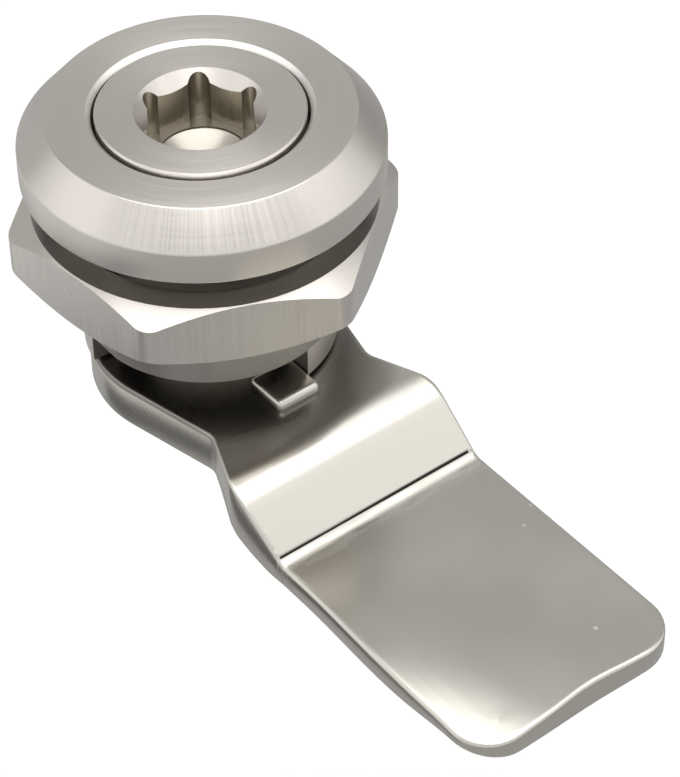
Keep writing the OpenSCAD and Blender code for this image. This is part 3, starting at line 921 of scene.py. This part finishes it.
socket_floor = FACE_Z - SOCKET_DEPTH
corner_r = SOCKET_WIDTH / math.sqrt(3)
hexagon = bmesh.new()
bmesh.ops.create_cone(hexagon, cap_ends=True, segments=6, radius1=corner_r, radius2=corner_r,
                      depth=SOCKET_TOP - socket_floor)
socket_place = Matrix.Translation((0, 0, (SOCKET_TOP + socket_floor) / 2))
bmesh.ops.transform(hexagon, matrix=socket_place @ Matrix.Rotation(SOCKET_TURN + math.radians(30), 4, "Z"),
                    verts=hexagon.verts)
rotor = combined(rotor, hexagon, "DIFFERENCE")
for i in range(6):
    lobe_angle = SOCKET_TURN + math.radians(60 * i)
    lobe_place = (corner_r + LOBE_REACH - LOBE_R) * Vector((math.cos(lobe_angle), math.sin(lobe_angle)))
    rotor = combined(rotor, round_bar(LOBE_R, socket_floor, SOCKET_TOP, *lobe_place), "DIFFERENCE")
pilot = turned([
    (0, socket_floor + 0.2, 0),
    (PILOT_R, socket_floor + 0.2, 0),
    (PILOT_R, socket_floor - PILOT_DEPTH, 0),
    (0, socket_floor - PILOT_DEPTH - PILOT_POINT_H, 0)])
rotor = combined(rotor, pilot, "DIFFERENCE")
countersink = solid_turned([
    (SOCKET_WIDTH / 2, FACE_Z - COUNTERSINK_W, 0),
    (SOCKET_WIDTH / 2 + COUNTERSINK_W + 1, FACE_Z + 1, 0)])
rotor = combined(rotor, countersink, "DIFFERENCE")
rotor.normal_update()
for face in rotor.faces:
    middle_point = face.calc_center_median()
    in_socket = middle_point.xy.length < corner_r + 2 * LOBE_REACH and middle_point.z > HEAD_BOTTOM_Z
    is_wall = abs(face.normal.z) < 0.3 and middle_point.z > socket_floor - PILOT_DEPTH
    is_floor = middle_point.z < socket_floor + 0.01
    face.material_index = 0 if not in_socket else 1 if is_wall else 2 if is_floor else 0
finish_piece(rotor, "socket_rotor", "rotor", [rotor_steel, shaded_broached_steel, shaded_drilled_steel], sharp_angle=25)

# %% [markdown]
# The cam is a thick plate with a round hub, a narrow neck and a wide blade, cranked so that the blade lies
# further behind the door. Seen from above it is one outline. Insets mark how far each ring of points lies
# from the edge, cuts across the plate give it places to bend, and an extrusion gives it an underside.
# Only then are the heights set: the crank's own curve, less a drop near the edge.

# %% Cam: outline and rings
HUB_R = -cam_low.x
CAM_TIP_X = cam_high.x
BLADE_HALF = cam_high.y
NECK_X = 10.4
NECK_HALF = 7.6
NECK_ROUNDING = 1.5
FLARE_X = 15.6
FLARE_ROUNDING = 4.0
TIP_ROUNDING = 3.6
RING_WIDTHS = (0.04, 0.08, 0.12, 0.16, 0.2, 0.3, 0.5, 0.8)

cam = bmesh.new()
edge_distance = cam.verts.layers.float.new("edge_distance")
neck = Vector((NECK_X, NECK_HALF))
tangent_angle = math.atan2(neck.y, neck.x) + math.acos(HUB_R / neck.length)
hub_start = cam.verts.new((HUB_R * math.cos(tangent_angle), HUB_R * math.sin(tangent_angle), 0))
arc = bmesh.ops.spin(cam, geom=[hub_start], cent=(0, 0, 0), axis=(0, 0, 1),
                     angle=math.tau - 2 * tangent_angle, steps=72)
hub_end = arc["geom_last"][0]
ahead = [cam.verts.new((x, y, 0)) for x, y in (
    (NECK_X, -NECK_HALF), (FLARE_X, -BLADE_HALF), (CAM_TIP_X, -BLADE_HALF),
    (CAM_TIP_X, BLADE_HALF), (FLARE_X, BLADE_HALF), (NECK_X, NECK_HALF))]
chain = [hub_end, *ahead, hub_start]
for first, second in zip(chain, chain[1:]):
    cam.edges.new((first, second))
bmesh.ops.contextual_create(cam, geom=list(cam.edges))
roundings = (NECK_ROUNDING, FLARE_ROUNDING, TIP_ROUNDING, TIP_ROUNDING, FLARE_ROUNDING, NECK_ROUNDING)
for vert, rounding in zip(ahead, roundings):
    round_corner(cam, vert, rounding, segments=10)
plate = cam.faces[:][0]
reached = 0.0
for width in RING_WIDTHS:
    bmesh.ops.inset_region(cam, faces=[plate], thickness=width, use_boundary=True, use_even_offset=True)
    reached += width
    for vert in plate.verts:
        vert[edge_distance] = reached
print("cam outline:", len(cam.verts), "points in", len(RING_WIDTHS) + 1, "rings")

# %% [markdown]
# The crank is bent in a press. On the front it falls at 38.5 degrees, and it meets the blade in a small
# hollow, with a fine groove where the edge of the press tool bit. Its underside falls more gently, because
# the hub is nearly twice as thick as the blade. Both curves are straight lines with an arc at each corner.

# %% Cam: crank and thickness
HUB_T = 3.8
BLADE_T = 2.0
SLOPE_T = 2.3
CAM_OFFSET = 4.2
BEND_X = 14.3
BEND_R = 5.0
BEND_ANGLE = math.radians(38.5)
UNDER_ANGLE = math.radians(17)
CREASE_HOLLOW_R = 1.2
CREASE_GROOVE_HALF_W = 0.1
CREASE_GROOVE_DEPTH = 0.1
hub_bottom_z = HUB_TOP_Z - HUB_T
blade_top_z = HUB_TOP_Z - CAM_OFFSET
blade_bottom_z = blade_top_z - BLADE_T
crank_top_x = BEND_X + BEND_R * math.tan(BEND_ANGLE / 2)
crease_x = crank_top_x + CAM_OFFSET / math.tan(BEND_ANGLE)
slope_low_x = crease_x - SLOPE_T * math.sin(UNDER_ANGLE)
slope_low_z = blade_top_z - SLOPE_T * math.cos(UNDER_ANGLE)
under_hub_x = slope_low_x - (hub_bottom_z - slope_low_z) / math.tan(UNDER_ANGLE)
under_blade_x = slope_low_x - (blade_bottom_z - slope_low_z) / math.tan(UNDER_ANGLE)


def bent(x, corner_x, corner_z, angle_in, angle_out, radius):
    """Height of two straight lines that meet in a corner, with an arc of that radius between them."""
    reach = radius * math.tan(abs(angle_out - angle_in) / 2)
    start_x = corner_x - reach * math.cos(angle_in)
    end_x = corner_x + reach * math.cos(angle_out)
    if x <= start_x:
        return corner_z + (x - corner_x) * math.tan(angle_in)
    if x >= end_x:
        return corner_z + (x - corner_x) * math.tan(angle_out)
    turn = math.copysign(1, angle_out - angle_in)
    centre_x = start_x - turn * radius * math.sin(angle_in)
    centre_z = corner_z - reach * math.sin(angle_in) + turn * radius * math.cos(angle_in)
    return centre_z - turn * math.sqrt(radius ** 2 - (x - centre_x) ** 2)


def top_height(x):
    groove = CREASE_GROOVE_DEPTH * max(0, 1 - abs(x - CREASE_GROOVE_X) / CREASE_GROOVE_HALF_W)
    if x < (crank_top_x + crease_x) / 2:
        return bent(x, crank_top_x, HUB_TOP_Z, 0, -BEND_ANGLE, BEND_R)
    return bent(x, crease_x, blade_top_z, -BEND_ANGLE, 0, CREASE_HOLLOW_R) - groove


def bottom_height(x):
    if x < (under_hub_x + under_blade_x) / 2:
        return bent(x, under_hub_x, hub_bottom_z, 0, -UNDER_ANGLE, BEND_R)
    return bent(x, under_blade_x, blade_bottom_z, -UNDER_ANGLE, 0, BEND_R)


stations = [11.0 + 0.6 * i for i in range(6)] + [BEND_X + 0.3 * i for i in range(11)]
stations += [17.9 + 0.8 * i for i in range(3)] + [crease_x - 1.1 + 0.2 * i for i in range(13)]
stations += [CREASE_GROOVE_X + CREASE_GROOVE_HALF_W * i for i in (-1, 0, 1)]
stations += [crease_x + 1.6 + 1.1 * i for i in range(20)]
for station in sorted(stations):
    bisect(cam, list(cam.faces), (station, 0, 0), (1, 0, 0))
for i in range(-6, 7):
    blade_faces = [face for face in cam.faces if face.calc_center_median().x > crease_x]
    bisect(cam, blade_faces, (0, 1.4 * i, 0), (0, 1, 0))
top_verts = list(cam.verts)
extruded = bmesh.ops.extrude_face_region(cam, geom=list(cam.faces), use_keep_orig=True)
bottom_verts = [item for item in extruded["geom"] if isinstance(item, bmesh.types.BMVert)]
print("cam plate:", len(top_verts), "points above and", len(bottom_verts), "below")

# %% [markdown]
# No two edges of a hand-finished cam are alike. The edges are crisp, but the corner that is ground most
# rolls off towards the tip and the long side. That side waves a little, and the end of the blade is slightly
# hollow. Each of these is a small smooth shift added to the points.

# %% Cam: heights, edges and hand finish
HUB_EDGE = 0.25
BLADE_EDGE = 0.3
UNDER_EDGE = 0.2
ROLL_OFF_DEPTH = 0.85
ROLL_OFF_LENGTH = 15.0
ROLL_OFF_WIDTH = 6.5
THINNED = 0.5
SIDE_WAVE = 0.3
END_HOLLOW = 0.45


def smooth_share(value, start, end):
    """0 before start, 1 after end, and a smooth rise between them."""
    share = min(1, max(0, (value - start) / (end - start)))
    return share * share * (3 - 2 * share)


def edge_drop(x, distance, blade_edge):
    """How far the surface has fallen at a distance from the edge: a quarter of a circle."""
    size = HUB_EDGE + (blade_edge - HUB_EDGE) * smooth_share(x, BEND_X, crease_x)
    inward = min(1, distance / size)
    return size * (1 - math.sqrt(1 - (1 - inward) ** 2))


def side_thinning(x, y):
    return THINNED * smooth_share(x, 34, 42) * max(0, (-y - BLADE_HALF + 3.5) / 3.5) ** 2


def corner_roll_off(x, y):
    along = max(0, 1 - (CAM_TIP_X - x) / ROLL_OFF_LENGTH)
    across = max(0, 1 - (y + BLADE_HALF) / ROLL_OFF_WIDTH)
    return ROLL_OFF_DEPTH * (along * across) ** 2


for vert in top_verts:
    x, y = vert.co.xy
    vert.co.z = top_height(x) - edge_drop(x, vert[edge_distance], BLADE_EDGE) - corner_roll_off(x, y)
for vert in bottom_verts:
    x, y = vert.co.xy
    vert.co.z = bottom_height(x) + edge_drop(x, vert[edge_distance], UNDER_EDGE) + side_thinning(x, y)
for verts, hollow_depth in ((top_verts, END_HOLLOW), (bottom_verts, END_HOLLOW / 4)):
    for vert in verts:
        x, y = vert.co.xy
        side_share = smooth_share(-y, 0, BLADE_HALF)
        narrowing = smooth_share(x, 17, 22) * (1 - smooth_share(x, 24, 34)) + 0.4 * smooth_share(x, 36, 41)
        vert.co.y += SIDE_WAVE * side_share * narrowing
        hollow = math.exp(-((y - 0.8) / 3.4) ** 2)
        vert.co.x -= hollow_depth * hollow * smooth_share(x, 34, CAM_TIP_X)
bmesh.ops.recalc_face_normals(cam, faces=cam.faces)
print("cam crank from", round(BEND_X, 2), "to the crease at", round(crease_x, 2))

# %% [markdown]
# The stop nub is pressed up out of the hub. It is a small block with a slanting outer end and round edges.
# It is modelled as a cube with bevelled edges and joined to the plate as a shell of its own. The square hole
# takes the rotor's tail.

# %% Cam: stop nub and square hole
NUB_START_X = 7.6
NUB_END_X = 11.6
NUB_SLANT = 0.2
NUB_HALF = 2.0
NUB_ROUNDING = 0.45
TAIL_HOLE_W = 8.1

nub = bmesh.new()
bmesh.ops.create_cube(nub, size=1)
for vert in nub.verts:
    is_top = vert.co.z > 0
    outer_x = NUB_END_X - NUB_SLANT / 2 if is_top else NUB_END_X + NUB_SLANT / 2
    vert.co.x = outer_x if vert.co.x > 0 else NUB_START_X
    vert.co.y = math.copysign(NUB_HALF, vert.co.y)
    vert.co.z = cam_high.z if is_top else HUB_TOP_Z - 0.2
upper_edges = [edge for edge in nub.edges if max(vert.co.z for vert in edge.verts) > HUB_TOP_Z]
bmesh.ops.bevel(nub, geom=upper_edges, offset=NUB_ROUNDING, offset_type="OFFSET", affect="EDGES", segments=5,
                profile=0.5, material=-1, clamp_overlap=True)
cam = combined(cam, square_block(TAIL_HOLE_W, hub_bottom_z - 1, HUB_TOP_Z + 1), "DIFFERENCE")
join_shell(cam, nub)
finish_piece(cam, "cranked_cam", "cam", [cam_steel], sharp_angle=40)

# %% [markdown]
# Behind the cam sit a flat washer, a split washer and the bolt. The split washer is a strip wound almost
# once round the bolt, so it is a spun section that stops short of a full turn.

# %% Bolt and washers
BOLT_R = 2.5
BOLT_WIDTH = 8.0
WASHER_HOLE_R = 2.7
SPLIT_ANGLE = math.radians(9)

washer_low, washer_high = box_mm("cam_washer")
washer = washer_shape(washer_high.x, WASHER_HOLE_R, washer_low.z, washer_high.z, 0.2)
finish_piece(washer, "flat_washer", "cam_washer", [fastener_steel])

split_low, split_high = box_mm("spring_washer")
split = bmesh.new()
strip = [split.verts.new((radius, 0, height)) for radius, height in (
    (split_high.x, split_low.z), (split_high.x, split_high.z),
    (WASHER_HOLE_R, split_high.z), (WASHER_HOLE_R, split_low.z))]
split.faces.new(strip)
for vert in strip:
    round_corner(split, vert, 0.2)
bmesh.ops.rotate(split, cent=(0, 0, 0), matrix=Matrix.Rotation(SPLIT_ANGLE / 2, 3, "Z"), verts=split.verts)
bmesh.ops.spin(split, geom=list(split.faces) + list(split.edges) + list(split.verts), cent=(0, 0, 0),
               axis=(0, 0, 1), angle=math.tau - SPLIT_ANGLE, steps=TURN_STEPS)
bmesh.ops.recalc_face_normals(split, faces=split.faces)
finish_piece(split, "split_washer", "spring_washer", [fastener_steel])

bolt_low, bolt_high = box_mm("cam_bolt")
bolt = hexagon_block(BOLT_WIDTH, bolt_low.z, split_low.z, math.radians(30), 0.2, False)
join_shell(bolt, solid_turned([(BOLT_R, split_low.z - 0.5, 0), (BOLT_R, bolt_high.z, 0.4)]))
finish_piece(bolt, "hexagon_bolt", "cam_bolt", [fastener_steel], sharp_angle=20)

# %% [markdown]
# The two seals are plain rubber rings: a circle spun round the axis. The thrust washer, the wave washer and
# the retaining ring lie inside the housing, and their solids already have the right shape, so they stay and
# only get a finish.

# %% Seals and inner rings


def rubber_ring(node, name):
    low, high = box_mm(node)
    cord_r = (high.z - low.z) / 2
    cord = bmesh.new()
    bmesh.ops.create_circle(cord, segments=16, radius=cord_r)
    upright = Matrix.Rotation(math.pi / 2, 4, "X")
    place = Matrix.Translation((high.x - cord_r, 0, (low.z + high.z) / 2))
    bmesh.ops.transform(cord, matrix=place @ upright, verts=cord.verts)
    bmesh.ops.spin(cord, geom=list(cord.verts) + list(cord.edges), cent=(0, 0, 0), axis=(0, 0, 1),
                   angle=math.tau, steps=TURN_STEPS, use_merge=True)
    bmesh.ops.recalc_face_normals(cord, faces=cord.faces)
    return finish_piece(cord, name, node, [seal_rubber])


rubber_ring("flange_seal", "door_seal_ring")
rubber_ring("rotor_seal", "rotor_seal_ring")
for node, material in (("thrust_washer", washer_plastic), ("wave_washer", spring_steel),
                       ("retaining_ring", spring_steel)):
    frame["nodes"][node].material_slots[0].material = material
    print(node, "keeps its solid, in", material.name)

# %% [markdown]
# The last cell prints the box of the imported solids and the box of the dressed lock, so that the two sizes
# can be compared.

# %% Sizes and finish
visual_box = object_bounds()
for label, low_high in (("solids", cad_box), ("dressed", visual_box)):
    print(label, [[round(value / MM, 2) for value in corner] for corner in low_high])
